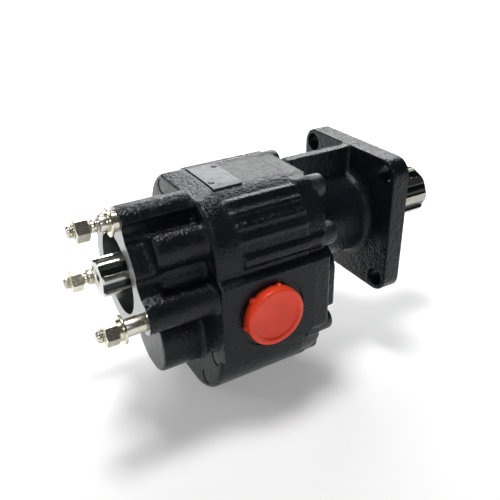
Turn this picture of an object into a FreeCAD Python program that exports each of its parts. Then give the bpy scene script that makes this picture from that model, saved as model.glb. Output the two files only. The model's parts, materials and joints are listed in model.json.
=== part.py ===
import FreeCAD, Part
import math
import os

# Hydraulic gear pump, millimetres. The origin is the centre of the front mounting face on the
# drive shaft's axis. +X points out of the mounting face, +Z is up, and the driven gear lies below.

# Overall lengths along the shaft
front_cover_length = 79.0
chamber_depth = 54.0
rear_wall_t = 12.3
rear_neck_length = 44.0
front_shaft_reach = 55.0
rear_shaft_reach = 12.7

# Body outline
body_side_wall = 19.0
body_end_wall = 18.5
body_corner_r = 36.0
pad_proud = 5.0
pad_half_height = 29.5
shoulder_round = 3.0
shoulder_slope = 14.0
shoulder_drop = 3.5
cover_inset = 1.5
foot_trim = 1.0

# Gears
centre_distance = 53.0
teeth = 12
pressure_angle = math.radians(28.0)
addendum_share = 1.0
dedendum_share = 1.25
flank_gap = 0.08
wear_plate_t = 5.0
side_gap = 0.05
tip_gap = 0.06

# Journals, bushes and seals
front_journal_r = 19.0
rear_journal_r = 16.0
driven_journal_r = 16.0
bush_wall = 2.5
running_gap = 0.03
front_bush_length = 30.0
rear_bush_length = 22.0
driven_bush_length = 24.0
shaft_seal_width = 8.0
front_seal_wall = 7.0
rear_seal_wall = 6.5
snap_ring_t = 1.6
snap_ring_width = 3.2
snap_ring_bite = 1.2
fit_gap = 0.05

# Front mounting flange, pilot and spline
flange_t = 13.3
flange_half = 50.3
flange_corner_r = 12.0
flange_bolt_half = 40.0
flange_hole_r = 6.75
pilot_r = 40.0
pilot_length = 8.0
neck_wall = 4.0
neck_flare = 5.5
neck_flare_lip = 0.3
web_half_t = 4.0
front_spline_teeth = 8
front_spline_r = 18.0
front_spline_root_r = 16.0
front_spline_tooth = 6.0
front_spline_start = 12.0

# Front cover base
cover_base_t = 14.5
screw_seat_t = 12.0
driven_boss_r = 27.0
front_step_proud = 14.0
front_step_inset = 8.0
front_step_top = -4.0
front_step_corner_r = 18.0
front_step_drop = 22.0
front_boss_proud = 19.0

# Rear end of the body
end_plate_t = 13.8
end_plate_r = 39.0
rear_core_r = 37.0
rear_pilot_r = 27.0
rear_pilot_depth = 20.0
rear_boss_setback = 15.0
stud_circle_r = 44.7
stud_angles = (71.0, -14.0, -152.3)
lobe_circle_r = 41.0
lobe_r = 11.5
bump_y = 30.0
bump_z = 25.0
bump_r = 12.5
bump_setback = 12.0
rear_spline_teeth = 6
rear_spline_r = 12.5
rear_spline_root_r = 10.5
rear_spline_tooth = 5.0

# Ports and their transport caps
port_offset = 31.8
port_r = 15.15
port_thread_depth = 20.0
port_passage_r = 13.0
port_passage_reach = 10.0
spotface_r = 24.0
spotface_depth = 1.0
cap_r = 20.0
cap_proud = 8.0
cap_stem_depth = 13.0
cap_wall = 2.0
cap_lugs = 6
cap_lug_r = 2.4

# Fasteners
screw_r = 5.0
screw_head_r = 8.0
screw_head_h = 11.0
screw_socket_across = 8.0
screw_length = 77.5
screw_spot_r = 5.8
screw_spot_depth = 0.8
screw_hole_gap = 0.5
screw_head_gap = 0.8
screw_lobe_r = 9.2
thread_gap = 0.05
screw_wall = 10.0
screw_top_inset = 8.2
screw_top_angle = 28.0
screw_side_z = 10.0
screw_lower_angles = (98.0, 145.0)
dowel_r = 4.0
dowel_half_length = 8.0
dowel_inset = 6.3
stud_r = 4.0
stud_reaches = (29.2, 29.2, 26.6)
stud_depth = 18.0
nut_across = 13.0
nut_h = 8.0
nut_end_gap = 4.2
washer_r = 8.6
washer_t = 1.6
spring_washer_r = 6.3
spring_washer_t = 2.1
spacer_r = 5.4
short_spacer_length = 4.8
tight_stud = 1
stud_hole_gap = 0.2

# Body details
rib_count = 4
rib_first_angle = 31.0
rib_step_angle = 13.3
rib_r = 2.6
rib_sink = 1.2
rib_rear_gap = 6.0
ledge_z = 8.0
ledge_height = 8.0
ledge_proud = 2.5
body_seal_offset = 2.2
body_seal_width = 2.2
body_seal_depth = 1.8
plate_seal_inset = 4.0
nameplate_length = 20.0
nameplate_half_width = 20.5
nameplate_t = 0.7
nameplate_rear_gap = 3.0
rivet_r = 1.2
rivet_head_r = 2.1
rivet_head_h = 0.8
rivet_depth = 3.0
rivet_half_span = 12.0
rivet_step = 7.0

# Gear sizes that follow from the centre distance
module = centre_distance / teeth
pitch_r = centre_distance / 2.0
tip_r = pitch_r + addendum_share * module
root_r = pitch_r - dedendum_share * module
cavity_r = tip_r + tip_gap

# The neck is as wide as its seal pocket needs
neck_r = front_journal_r + front_seal_wall + neck_wall

# Body sizes round the pumping chamber
driven_z = -centre_distance
middle_z = driven_z / 2.0
body_half_width = cavity_r + body_side_wall
body_top = cavity_r + body_end_wall
body_bottom_r = cavity_r + body_end_wall
body_bottom = driven_z - body_bottom_r

# Stations along X
seam_front = -front_cover_length
chamber_rear = seam_front - chamber_depth
shoulder_x = chamber_rear - rear_wall_t
rear_face = shoulder_x - rear_neck_length
cover_base_front = seam_front + cover_base_t
screw_seat_x = seam_front + screw_seat_t
port_x = seam_front - port_offset
gear_front = seam_front - wear_plate_t - side_gap
gear_rear = chamber_rear + wear_plate_t + side_gap


def rod(x0, x1, radius, y=0.0, z=0.0):
    """Cylinder along X from x0 to x1."""
    return Part.makeCylinder(radius, x1 - x0, FreeCAD.Vector(x0, y, z), FreeCAD.Vector(1, 0, 0))


def cross_rod(y0, y1, radius, x, z):
    """Cylinder along Y from y0 to y1."""
    return Part.makeCylinder(radius, y1 - y0, FreeCAD.Vector(x, y0, z), FreeCAD.Vector(0, 1, 0))


def block(x0, x1, y0, y1, z0, z1):
    """Box between two corners."""
    return Part.makeBox(x1 - x0, y1 - y0, z1 - z0, FreeCAD.Vector(x0, y0, z0))


def edges_along(shape, direction):
    """Straight edges that run along one axis."""
    found = []
    for edge in shape.Edges:
        if not isinstance(edge.Curve, Part.Line):
            continue
        if abs(abs(edge.Curve.Direction.dot(direction)) - 1.0) < 1e-6:
            found.append(edge)
    return found


def rounded_block(x0, x1, half_width, z0, z1, radius):
    """Box along X whose four long edges are rounded."""
    solid = block(x0, x1, -half_width, half_width, z0, z1)
    return solid.makeFillet(radius, edges_along(solid, FreeCAD.Vector(1, 0, 0)))


def body_block(x0, x1, growth):
    """The body's outline between two stations, grown outwards: round shoulders over a half-round bottom."""
    half = body_half_width + growth
    upper = block(x0, x1, -half, half, driven_z, body_top + growth)
    shoulders = [edge for edge in edges_along(upper, FreeCAD.Vector(1, 0, 0))
                 if edge.BoundBox.Center.z > driven_z + 1.0]
    upper = upper.makeFillet(body_corner_r + growth, shoulders)
    lower = rod(x0, x1, body_bottom_r + growth, 0.0, driven_z)
    return fuse_all([upper, lower])


def side_pads(x0, x1, proud):
    """The flat pads on both sides, level with the ports."""
    reach = body_half_width + proud
    solid = block(x0, x1, -reach, reach, middle_z - pad_half_height, middle_z + pad_half_height)
    return solid.makeChamfer(0.8 * proud, edges_along(solid, FreeCAD.Vector(1, 0, 0)))


def fuse_all(solids):
    """One solid from several overlapping ones."""
    result = solids[0].multiFuse(solids[1:])
    return result.removeSplitter()


def cut_all(solid, tools):
    """The solid less every tool."""
    return solid.cut(Part.makeCompound(tools))


def hexagon(x0, x1, across, y, z):
    """Hexagonal bar along X."""
    corner_r = across / 2.0 / math.cos(math.radians(30.0))
    points = []
    for corner in range(7):
        angle = math.radians(60.0 * corner)
        points.append(FreeCAD.Vector(x0, y + corner_r * math.cos(angle), z + corner_r * math.sin(angle)))
    return Part.Face(Part.makePolygon(points)).extrude(FreeCAD.Vector(x1 - x0, 0, 0))


def screw_places():
    """Centres of the eight cover screws: four by the drive gear and four round the driven gear."""
    places = []
    turn = math.radians(screw_top_angle)
    reach = body_corner_r - screw_top_inset
    top_y = body_half_width - body_corner_r + reach * math.sin(turn)
    top_z = body_top - body_corner_r + reach * math.cos(turn)
    screw_circle_r = cavity_r + screw_wall
    for side in (-1, 1):
        places.append((side * top_y, top_z))
        places.append((side * screw_circle_r, screw_side_z))
        for degrees in screw_lower_angles:
            turn = math.radians(degrees)
            places.append((side * screw_circle_r * math.sin(turn),
                           driven_z + screw_circle_r * math.cos(turn)))
    return places


def dowel_places():
    """Centres of the two dowel pins across the seam."""
    return [(0.0, body_top - dowel_inset), (0.0, body_bottom + dowel_inset)]


def stud_places():
    """Centres of the three mounting studs and the direction of each from the shaft's axis."""
    places = []
    for angle in stud_angles:
        turn = math.radians(angle)
        places.append((-math.cos(turn), math.sin(turn)))
    return places


def twin_rods(x0, x1, radius):
    """Two overlapping cylinders about the gear axes, as in the pumping chamber."""
    return fuse_all([rod(x0, x1, radius), rod(x0, x1, radius, 0.0, driven_z)])


def racetrack(x0, x1, radius):
    """Rounded slot shape round both gear axes."""
    return fuse_all([twin_rods(x0, x1, radius), block(x0, x1, -radius, radius, driven_z, 0.0)])


def involute_point(base_r, radius, half_angle, side):
    """Point of a tooth flank at a radius, where side is -1 or 1."""
    roll = math.acos(base_r / radius)
    angle = side * (half_angle - (math.tan(roll) - roll))
    return FreeCAD.Vector(0.0, radius * math.sin(angle), radius * math.cos(angle))


def gear_solid(x0, x1, z, first_angle):
    """Involute gear about an axis along X. first_angle turns the first tooth away from +Z."""
    base_r = pitch_r * math.cos(pressure_angle)
    thickness_angle = math.pi / (2.0 * teeth) - flank_gap / pitch_r
    half_angle = thickness_angle + math.tan(pressure_angle) - pressure_angle
    flank_radii = [base_r + (tip_r - base_r) * step / 5.0 for step in range(6)]
    left = [involute_point(base_r, radius, half_angle, -1) for radius in flank_radii]
    right = [involute_point(base_r, radius, half_angle, 1) for radius in reversed(flank_radii)]
    foot_angle = half_angle
    foot_left = FreeCAD.Vector(0.0, -root_r * math.sin(foot_angle), root_r * math.cos(foot_angle))
    foot_right = FreeCAD.Vector(0.0, root_r * math.sin(foot_angle), root_r * math.cos(foot_angle))
    rising = Part.BSplineCurve()
    rising.interpolate(left)
    falling = Part.BSplineCurve()
    falling.interpolate(right)
    crown = Part.Arc(left[-1], FreeCAD.Vector(0.0, 0.0, tip_r), right[0])
    half_step = math.pi / teeth
    next_foot = FreeCAD.Vector(0.0, root_r * math.sin(2.0 * half_step - foot_angle),
                               root_r * math.cos(2.0 * half_step - foot_angle))
    valley_middle = FreeCAD.Vector(0.0, root_r * math.sin(half_step), root_r * math.cos(half_step))
    pieces = [Part.makeLine(foot_left, left[0]), rising.toShape(), crown.toShape(), falling.toShape(),
              Part.makeLine(right[-1], foot_right), Part.Arc(foot_right, valley_middle, next_foot).toShape()]
    outline = []
    for tooth in range(teeth):
        for piece in pieces:
            turned = piece.copy()
            turned.rotate(FreeCAD.Vector(0, 0, 0), FreeCAD.Vector(1, 0, 0), -360.0 * tooth / teeth)
            outline.append(turned)
    face = Part.Face(Part.Wire(Part.__sortEdges__(outline)))
    solid = face.extrude(FreeCAD.Vector(x1 - x0, 0, 0))
    solid.rotate(FreeCAD.Vector(0, 0, 0), FreeCAD.Vector(1, 0, 0), first_angle)
    solid.translate(FreeCAD.Vector(x0, 0.0, z))
    return solid


def spline_solid(x0, x1, count, outer_r, core_r, tooth_width, turn):
    """Straight-sided spline: a core with parallel teeth, trimmed to the outer cylinder."""
    solids = [rod(x0, x1, core_r)]
    for tooth in range(count):
        bar = block(x0, x1, -tooth_width / 2.0, tooth_width / 2.0, 0.0, outer_r + 1.0)
        bar.rotate(FreeCAD.Vector(0, 0, 0), FreeCAD.Vector(1, 0, 0), turn + 360.0 * tooth / count)
        solids.append(bar)
    return fuse_all(solids).common(rod(x0, x1, outer_r))


def end_cone(tip_x, direction, outer_r, chamfer):
    """Ring that bevels the end of a shaft when cut from it."""
    inner = Part.makeCone(outer_r - chamfer, outer_r + 1.0, chamfer + 1.0,
                          FreeCAD.Vector(tip_x, 0, 0), FreeCAD.Vector(-direction, 0, 0))
    outer = Part.makeCylinder(outer_r + 1.0, chamfer + 1.0,
                              FreeCAD.Vector(tip_x, 0, 0), FreeCAD.Vector(-direction, 0, 0))
    return outer.cut(inner)


def make_drive_shaft():
    """Drive shaft with its gear, both splines and both journals in one piece."""
    rear_tip = rear_face - rear_shaft_reach
    spline_end = rear_face + rear_pilot_depth + 2.0
    gear = gear_solid(gear_rear, gear_front, 0.0, 180.0)
    front_journal = rod(gear_front, front_spline_start - 6.0, front_journal_r)
    front_collar = rod(front_spline_start - 6.0, front_spline_start, front_spline_r)
    front_spline = spline_solid(front_spline_start, front_shaft_reach, front_spline_teeth, front_spline_r,
                                front_spline_root_r, front_spline_tooth, 0.0)
    rear_journal = rod(spline_end, gear_rear, rear_journal_r)
    rear_spline = spline_solid(rear_tip, spline_end, rear_spline_teeth, rear_spline_r,
                               rear_spline_root_r, rear_spline_tooth, 12.0)
    shaft = fuse_all([gear, front_journal, front_collar, front_spline, rear_journal, rear_spline])
    centre_hole = Part.makeCone(2.6, 0.4, 5.0, FreeCAD.Vector(rear_tip, 0, 0), FreeCAD.Vector(1, 0, 0))
    front_hole = Part.makeCone(3.2, 0.5, 6.0, FreeCAD.Vector(front_shaft_reach, 0, 0),
                               FreeCAD.Vector(-1, 0, 0))
    return cut_all(shaft, [end_cone(front_shaft_reach, 1, front_spline_r, 1.6),
                           end_cone(rear_tip, -1, rear_spline_r, 1.0), centre_hole, front_hole])


def make_driven_gear():
    """Driven gear with its two journals."""
    gear = gear_solid(gear_rear, gear_front, driven_z, 180.0 / teeth)
    reach = driven_bush_length - 1.0
    journals = rod(chamber_rear - reach, seam_front + reach, driven_journal_r, 0.0, driven_z)
    return fuse_all([gear, journals])


def make_bush(x0, x1, journal_r, z):
    """Plain bearing bush pressed into a cover."""
    outer = rod(x0, x1, journal_r + bush_wall, 0.0, z)
    return outer.cut(rod(x0, x1, journal_r + running_gap, 0.0, z))


def make_shaft_seal(x0, journal_r, wall):
    """Lip seal: a ring with a hollow behind the lip."""
    ring = rod(x0, x0 + shaft_seal_width, journal_r + wall - fit_gap)
    hollow = rod(x0 + 2.0, x0 + shaft_seal_width, journal_r + wall - 2.5)
    lip = rod(x0, x0 + shaft_seal_width - 1.5, journal_r + 2.2)
    bore = rod(x0, x0 + shaft_seal_width, journal_r + fit_gap)
    return ring.cut(hollow).fuse(lip).cut(bore)


def make_snap_ring(x0, bore_r):
    """Internal snap ring with its gap at the bottom."""
    ring = rod(x0, x0 + snap_ring_t, bore_r + snap_ring_bite - fit_gap)
    ring = ring.cut(rod(x0, x0 + snap_ring_t, bore_r - snap_ring_width))
    return ring.cut(block(x0, x0 + snap_ring_t, -4.0, 4.0, -bore_r - 5.0, 0.0))


def snap_groove(x0, bore_r):
    """Groove that holds a snap ring."""
    return rod(x0, x0 + snap_ring_t, bore_r + snap_ring_bite)


def front_seal_x():
    """Rear end of the front shaft seal."""
    return -flange_t - shaft_seal_width - 2.0


def rear_seal_x():
    """Rear end of the rear shaft seal."""
    return rear_face + rear_pilot_depth + snap_ring_t + 1.9


def make_front_cover():
    """Front cover: base, neck, mounting flange and pilot in one casting."""
    base = body_block(seam_front, cover_base_front, -cover_inset)
    pads = side_pads(seam_front, cover_base_front, pad_proud - 1.0)
    lobes = [rod(seam_front, screw_seat_x, screw_lobe_r, y, z) for y, z in screw_places()]
    neck = rod(cover_base_front - 1.0, -flange_t, neck_r)
    step_half = body_half_width - front_step_inset
    step = rounded_block(seam_front, cover_base_front + front_step_proud, step_half,
                         driven_z - front_step_drop, front_step_top, front_step_corner_r)
    boss = rod(seam_front, cover_base_front + front_boss_proud, driven_boss_r, 0.0, driven_z)
    boss_end = [edge for edge in boss.Edges if abs(edge.BoundBox.XMin - boss.BoundBox.XMax) < 1e-6]
    boss = boss.makeFillet(4.0, boss_end)
    flange = rounded_block(-flange_t, 0.0, flange_half, -flange_half, flange_half, flange_corner_r)
    web = block(cover_base_front - 1.0, -flange_t + 1.0, -web_half_t, web_half_t, neck_r - 6.0, body_top)
    flares = [flare(-flange_t, -1.0), flare(cover_base_front, 1.0)]
    ledges = [side_ledge(side, seam_front, screw_seat_x, cover_inset) for side in (-1, 1)]
    pilot = rod(-1.0, pilot_length, pilot_r)
    casting = fuse_all([base, pads, step, neck, boss, flange, web, pilot] + lobes + flares + ledges)
    seal_r = front_journal_r + front_seal_wall
    tools = [rod(seam_front, seam_front + front_bush_length, front_journal_r + bush_wall),
             rod(seam_front, pilot_length, front_journal_r + 1.5),
             rod(front_seal_x(), pilot_length, seal_r),
             snap_groove(front_seal_x() + shaft_seal_width, seal_r),
             rod(seam_front, seam_front + driven_bush_length, driven_journal_r + bush_wall, 0.0, driven_z)]
    for y, z in screw_places():
        tools.append(rod(seam_front, screw_seat_x, screw_r + screw_hole_gap, y, z))
        tools.append(rod(screw_seat_x, screw_seat_x + screw_head_h + 8.0,
                         screw_head_r + screw_head_gap, y, z))
    for y, z in dowel_places():
        tools.append(rod(seam_front, seam_front + dowel_half_length, dowel_r, y, z))
    for side_y in (-1, 1):
        for side_z in (-1, 1):
            tools.append(rod(-flange_t, 0.0, flange_hole_r, side_y * flange_bolt_half,
                             side_z * flange_bolt_half))
    return cut_all(casting, tools)


def flare(x, direction):
    """Concave ring that blends the neck into a face at x. direction points away from the face."""
    lip_r = neck_r + neck_flare - neck_flare_lip
    ring = Part.makeCylinder(lip_r, neck_flare, FreeCAD.Vector(x, 0, 0), FreeCAD.Vector(direction, 0, 0))
    hollow = Part.makeTorus(neck_r + neck_flare, neck_flare, FreeCAD.Vector(x + direction * neck_flare, 0, 0),
                            FreeCAD.Vector(1, 0, 0))
    return ring.cut(hollow)


def corner_ribs():
    """Cast ribs along both top corners, and the ledge above each pad."""
    solids = []
    corner_y = body_half_width - body_corner_r
    corner_z = body_top - body_corner_r
    x0 = chamber_rear + rib_rear_gap
    for side in (-1, 1):
        for index in range(rib_count):
            angle = math.radians(rib_first_angle + index * rib_step_angle)
            reach = body_corner_r - rib_sink
            rib_y = side * (corner_y + reach * math.sin(angle))
            rib_z = corner_z + reach * math.cos(angle)
            solids.append(rod(x0, seam_front, rib_r, rib_y, rib_z))
            solids.append(Part.makeSphere(rib_r, FreeCAD.Vector(x0, rib_y, rib_z)))
        solids.append(side_ledge(side, x0, seam_front, 0.0))
    return solids


def side_ledge(side, x0, x1, inset):
    """Flat strip above a side pad."""
    outer_y = side * (body_half_width + ledge_proud - inset)
    inner_y = side * (body_half_width - ledge_proud - inset)
    ledge = block(x0, x1, min(outer_y, inner_y), max(outer_y, inner_y), ledge_z, ledge_z + ledge_height)
    return ledge.makeChamfer(1.5, edges_along(ledge, FreeCAD.Vector(1, 0, 0)))


def rear_end():
    """Core, end plate with three lobes, one side bump and the driven gear's boss."""
    solids = [rod(rear_face, rear_face + end_plate_t, end_plate_r),
              rod(rear_face, shoulder_x + 1.0, rear_core_r),
              rod(rear_face + rear_boss_setback, shoulder_x + 1.0, driven_boss_r, 0.0, driven_z)]
    for unit_y, unit_z in stud_places():
        solids.append(rod(rear_face, shoulder_x + 1.0, lobe_r,
                          lobe_circle_r * unit_y, lobe_circle_r * unit_z))
    solids.append(rod(rear_face + bump_setback, shoulder_x + 1.0, bump_r, -bump_y, bump_z))
    return solids


def port_tools():
    """Threaded bore, passage and spotface of both ports."""
    tools = []
    reach = body_half_width + pad_proud
    steps = ((reach - port_passage_reach, port_passage_r), (port_thread_depth, port_r),
             (spotface_depth, spotface_r))
    for side in (-1, 1):
        for depth, radius in steps:
            far = side * reach
            near = side * (reach - depth)
            tools.append(cross_rod(min(near, far), max(near, far), radius, port_x, middle_z))
    return tools


def shoulder_wedge():
    """Wedge above the body's top that slopes down to the rear end."""
    half = body_half_width + 1.0
    low = FreeCAD.Vector(shoulder_x - 1.0, -half, body_top - shoulder_drop)
    high = FreeCAD.Vector(shoulder_x + shoulder_slope, -half, body_top + 0.01)
    above = FreeCAD.Vector(high.x, -half, body_top + 1.0)
    corner = FreeCAD.Vector(shoulder_x - 1.0, -half, body_top + 1.0)
    side = Part.Face(Part.makePolygon([low, high, above, corner, low]))
    return side.extrude(FreeCAD.Vector(0, 2.0 * half, 0))


def make_pump_body():
    """Body casting: pumping chamber, both ports and pads, corner ribs and the rear mounting end."""
    outer = body_block(shoulder_x, seam_front, 0.0)
    outer = outer.cut(block(shoulder_x - 1.0, seam_front + 1.0, -body_half_width, body_half_width,
                            body_bottom - 1.0, body_bottom + foot_trim))
    rear_rim = [edge for edge in outer.Edges if edge.BoundBox.XMax < shoulder_x + 0.01]
    outer = outer.makeFillet(shoulder_round, rear_rim).cut(shoulder_wedge())
    pads = side_pads(shoulder_x, seam_front, pad_proud)
    casting = fuse_all([outer, pads] + corner_ribs() + rear_end())
    seal_r = rear_journal_r + rear_seal_wall
    tools = [twin_rods(chamber_rear, seam_front, cavity_r),
             rod(rear_face, rear_face + rear_pilot_depth, rear_pilot_r),
             rod(rear_face, rear_seal_x() + shaft_seal_width, seal_r),
             snap_groove(rear_seal_x() - snap_ring_t, seal_r),
             rod(rear_face, chamber_rear, rear_journal_r + 1.0),
             rod(chamber_rear - rear_bush_length, chamber_rear, rear_journal_r + bush_wall),
             rod(chamber_rear - driven_bush_length, chamber_rear,
                 driven_journal_r + bush_wall, 0.0, driven_z),
             body_seal_ring(seam_front - body_seal_depth, seam_front, 0.0)]
    for y, z in screw_places():
        tools.append(rod(shoulder_x, seam_front, screw_r + thread_gap, y, z))
        tools.append(rod(shoulder_x - rear_neck_length, shoulder_x + screw_spot_depth, screw_spot_r, y, z))
    for y, z in dowel_places():
        tools.append(rod(seam_front - dowel_half_length, seam_front, dowel_r, y, z))
    for unit_y, unit_z in stud_places():
        tools.append(rod(rear_face, rear_face + stud_depth + 2.0, stud_r + thread_gap,
                         stud_circle_r * unit_y, stud_circle_r * unit_z))
    for x, y in rivet_places():
        tools.append(Part.makeCylinder(rivet_r + thread_gap, rivet_depth,
                                       FreeCAD.Vector(x, y, body_top - rivet_depth)))
    return cut_all(casting, tools + port_tools())


def body_seal_ring(x0, x1, gap):
    """Racetrack ring round the pumping chamber."""
    inner_r = cavity_r + body_seal_offset
    outer = racetrack(x0, x1, inner_r + body_seal_width - gap)
    return outer.cut(racetrack(x0, x1, inner_r + gap))


def make_wear_plate(x0, x1, seal_x0, seal_x1):
    """Bronze-faced plate that closes one side of the gears, with a groove for its seal."""
    plate = twin_rods(x0, x1, cavity_r - fit_gap)
    tools = [rod(x0, x1, front_journal_r + 0.3), rod(x0, x1, driven_journal_r + 0.3, 0.0, driven_z),
             plate_seal_ring(seal_x0, seal_x1, 0.0)]
    return cut_all(plate, tools)


def plate_seal_ring(x0, x1, gap):
    """Figure-eight ring inside the wear plate's outline."""
    outer_r = cavity_r - plate_seal_inset
    outer = twin_rods(x0, x1, outer_r - gap)
    return outer.cut(twin_rods(x0, x1, outer_r - body_seal_width + gap))


def make_cap_screw(under_head_x, direction, length, y, z):
    """Socket head screw. direction points from the head's underside to the head's top."""
    head_top = under_head_x + direction * screw_head_h
    tip = under_head_x - direction * length
    head = rod(min(under_head_x, head_top), max(under_head_x, head_top), screw_head_r, y, z)
    shank = rod(min(under_head_x, tip), max(under_head_x, tip), screw_r, y, z)
    floor = head_top - direction * screw_head_h / 2.0
    socket = hexagon(min(floor, head_top), max(floor, head_top), screw_socket_across, y, z)
    return head.fuse(shank).cut(socket)


def make_cover_screws():
    """Eight long screws through the front cover and the whole body."""
    return [make_cap_screw(screw_seat_x, 1.0, screw_length, y, z) for y, z in screw_places()]


def make_dowels():
    """Two dowel pins between the cover and the body."""
    reach = dowel_half_length - 0.3
    return [rod(seam_front - reach, seam_front + reach, dowel_r - 0.02, y, z) for y, z in dowel_places()]


def make_studs():
    """Three mounting studs with rounded tips."""
    studs = []
    for (unit_y, unit_z), reach in zip(stud_places(), stud_reaches):
        tip_x = rear_face - reach
        stud = rod(tip_x, rear_face + stud_depth, stud_r, stud_circle_r * unit_y, stud_circle_r * unit_z)
        tip = [edge for edge in stud.Edges if edge.BoundBox.XMax < tip_x + 0.1]
        studs.append(stud.makeFillet(1.5, tip))
    return studs


def ring_on_stud(x0, x1, radius, index):
    """Plain ring round one stud."""
    unit_y, unit_z = stud_places()[index]
    y = stud_circle_r * unit_y
    z = stud_circle_r * unit_z
    return rod(x0, x1, radius, y, z).cut(rod(x0, x1, stud_r + stud_hole_gap, y, z))


def make_nut(index):
    """Hexagonal nut with bevelled corners."""
    unit_y, unit_z = stud_places()[index]
    y = stud_circle_r * unit_y
    z = stud_circle_r * unit_z
    x0 = rear_face - stud_reaches[index] + nut_end_gap
    x1 = x0 + nut_h
    nut = hexagon(x0, x1, nut_across, y, z)
    corner_r = nut_across / 2.0 / math.cos(math.radians(30.0))
    cone_r = corner_r + nut_h
    for tip_x, direction in ((x0, 1.0), (x1, -1.0)):
        cone = Part.makeCone(nut_across / 2.0 - 0.2, cone_r + 1.8 * nut_h, cone_r,
                             FreeCAD.Vector(tip_x, y, z), FreeCAD.Vector(direction, 0, 0))
        nut = nut.common(cone)
    return nut.cut(rod(x0, x1, stud_r + thread_gap, y, z))


def stack_stations(index):
    """Rear ends of the spring washer, the flat washer and the spacer on one stud."""
    nut_front = rear_face - stud_reaches[index] + nut_end_gap + nut_h
    if index == tight_stud:
        spring_x = nut_front
        flat_x = spring_x + spring_washer_t
        return spring_x, flat_x, flat_x + washer_t
    spring_x = rear_face - 2.0 * spring_washer_t
    flat_x = spring_x - washer_t
    return spring_x, flat_x, flat_x - short_spacer_length


def make_flat_washers():
    """One large flat washer on each stud."""
    return [ring_on_stud(stack_stations(index)[1], stack_stations(index)[1] + washer_t, washer_r, index)
            for index in range(3)]


def make_spring_washers():
    """Split spring washers: one under the tight nut, and two against the face on each other stud."""
    washers = []
    for index in range(3):
        turns = 1 if index == tight_stud else 2
        unit_y, unit_z = stud_places()[index]
        y = stud_circle_r * unit_y
        z = stud_circle_r * unit_z
        for turn in range(turns):
            x0 = stack_stations(index)[0] + turn * spring_washer_t
            ring = ring_on_stud(x0, x0 + spring_washer_t, spring_washer_r, index)
            split = block(x0, x0 + spring_washer_t, y - 0.5, y + 0.5, z, z + spring_washer_r + 1.0)
            washers.append(ring.cut(split))
    return washers


def make_spacers():
    """Distance sleeves on the studs: a long one on the tight stud and a short one on each other."""
    sleeves = []
    for index in range(3):
        x0 = stack_stations(index)[2]
        x1 = rear_face if index == tight_stud else x0 + short_spacer_length
        sleeves.append(ring_on_stud(x0, x1, spacer_r, index))
    return sleeves


def make_nameplate():
    """Thin plate that follows the curve of the body's top."""
    x0 = chamber_rear + nameplate_rear_gap
    x1 = x0 + nameplate_length
    skin = body_block(x0, x1, nameplate_t).cut(body_block(x0 - 1.0, x1 + 1.0, 0.0))
    plate = skin.common(block(x0, x1, -nameplate_half_width, nameplate_half_width,
                              body_top - 8.0, body_top + 2.0))
    tools = [Part.makeCylinder(rivet_r + thread_gap, 3.0, FreeCAD.Vector(x, y, body_top - 1.0))
             for x, y in rivet_places()]
    return cut_all(plate, tools)


def rivet_places():
    """Centres of the nameplate's two rivets."""
    middle_x = chamber_rear + nameplate_rear_gap + nameplate_length / 2.0
    return [(middle_x - rivet_step, -rivet_half_span), (middle_x + rivet_step, rivet_half_span)]


def make_rivets():
    """Two drive rivets with low heads."""
    rivets = []
    for x, y in rivet_places():
        shank = Part.makeCylinder(rivet_r, rivet_depth + nameplate_t,
                                  FreeCAD.Vector(x, y, body_top - rivet_depth))
        head = Part.makeCylinder(rivet_head_r, rivet_head_h, FreeCAD.Vector(x, y, body_top + nameplate_t))
        top = [edge for edge in head.Edges if edge.BoundBox.ZMin > body_top + nameplate_t + 0.1]
        rivets.append(shank.fuse(head.makeFillet(0.5, top)))
    return rivets


def make_port_cap(side):
    """Transport plug: a lugged head with a shallow dish and a hollow stem in the port."""
    seat = body_half_width + pad_proud - spotface_depth
    outer = seat + cap_proud
    inner = seat - cap_stem_depth

    def disc(depth_low, depth_high, radius, x=port_x, z=middle_z):
        low = min(side * depth_low, side * depth_high)
        high = max(side * depth_low, side * depth_high)
        return cross_rod(low, high, radius, x, z)

    head = disc(seat, outer, cap_r)
    rim = [edge for edge in head.Edges if abs(edge.BoundBox.Center.y - side * outer) < 0.01
           and isinstance(edge.Curve, Part.Circle)]
    head = head.makeFillet(1.5, rim)
    solids = [head, disc(inner, seat, port_r - fit_gap)]
    for lug in range(cap_lugs):
        angle = math.radians(15.0 + 360.0 * lug / cap_lugs)
        lug_x = port_x + (cap_r - 0.9) * math.cos(angle)
        lug_z = middle_z + (cap_r - 0.9) * math.sin(angle)
        solids.append(disc(seat, outer - 2.0, cap_lug_r, lug_x, lug_z))
    dish = disc(outer - 1.2, outer, cap_r - 4.0)
    hollow = disc(inner, outer - 1.2 - cap_wall, port_r - fit_gap - cap_wall)
    return cut_all(fuse_all(solids), [dish, hollow])


def export(name, solids):
    """Write one node's solids to its own STEP file."""
    shape = solids[0] if len(solids) == 1 else Part.makeCompound(solids)
    shape.exportStep("parts/" + name + ".step")
    print(name, len(shape.Solids), round(shape.Volume, 1), shape.isValid())


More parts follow.
